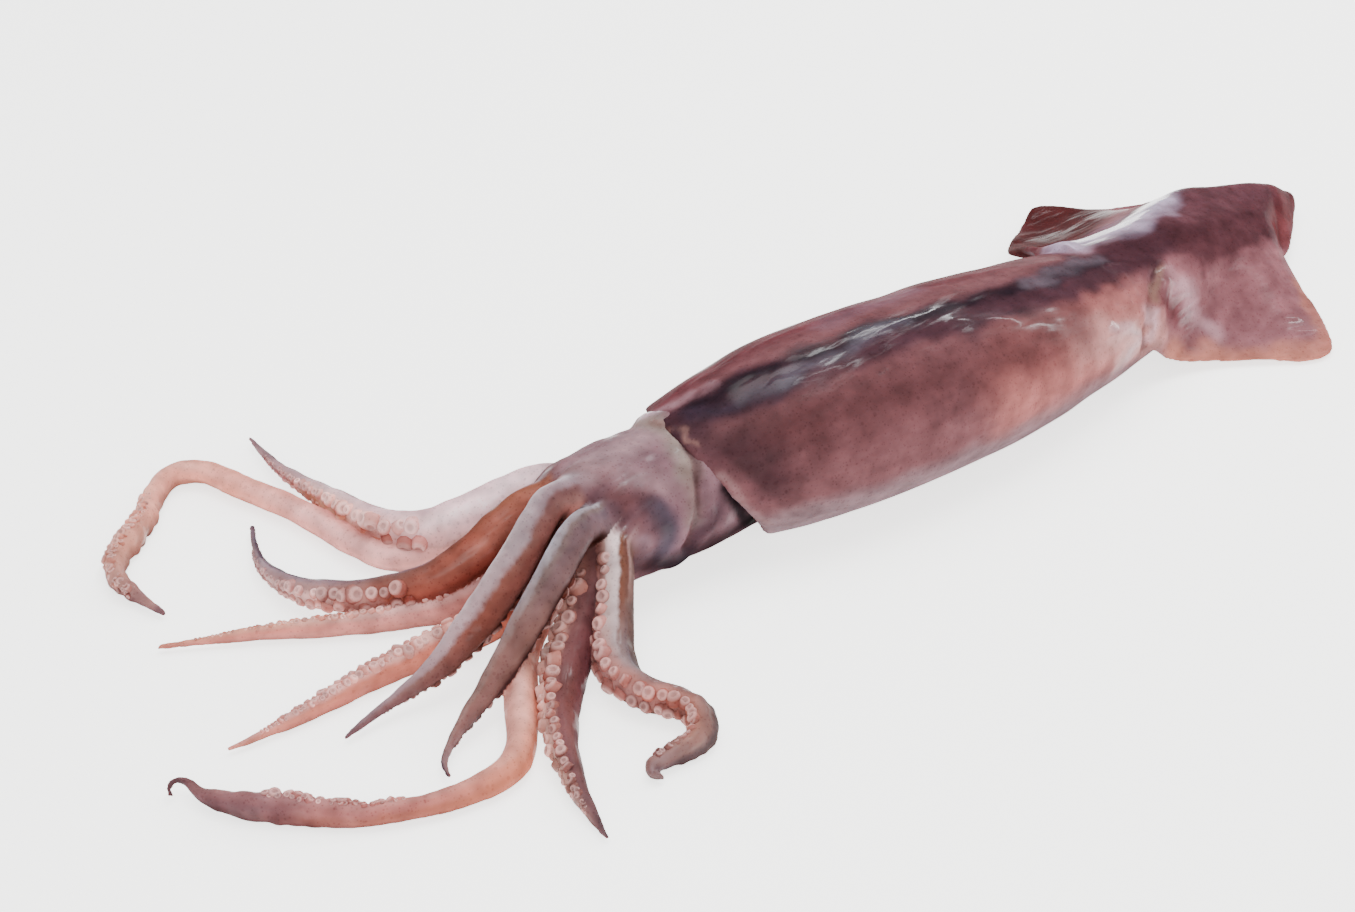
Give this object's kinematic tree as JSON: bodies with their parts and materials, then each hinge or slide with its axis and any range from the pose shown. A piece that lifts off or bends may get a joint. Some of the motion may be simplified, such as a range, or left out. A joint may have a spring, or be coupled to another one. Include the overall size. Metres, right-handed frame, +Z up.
{
  "type": "whole squid",
  "caption": "Whole raw squid lying on its belly: tapering mantle tube with a tail fin, head set in the tube's slanted rim, spread arms with suckers and longer tentacles with clubs.",
  "frame": {"origin": "on the table under the belly of the mantle tube, where it is widest", "axes": "+X from the arms to the tail, +Y across the body, +Z up from the table"},
  "size_m": [0.3584, 0.1667, 0.0389],
  "materials": {
    "skin": "wet soft skin, red-brown with fine dark speckle and a dark band along the back"
  },
  "bodies": {
    "root": {"squid": "skin"}
  },
  "joints": []
}
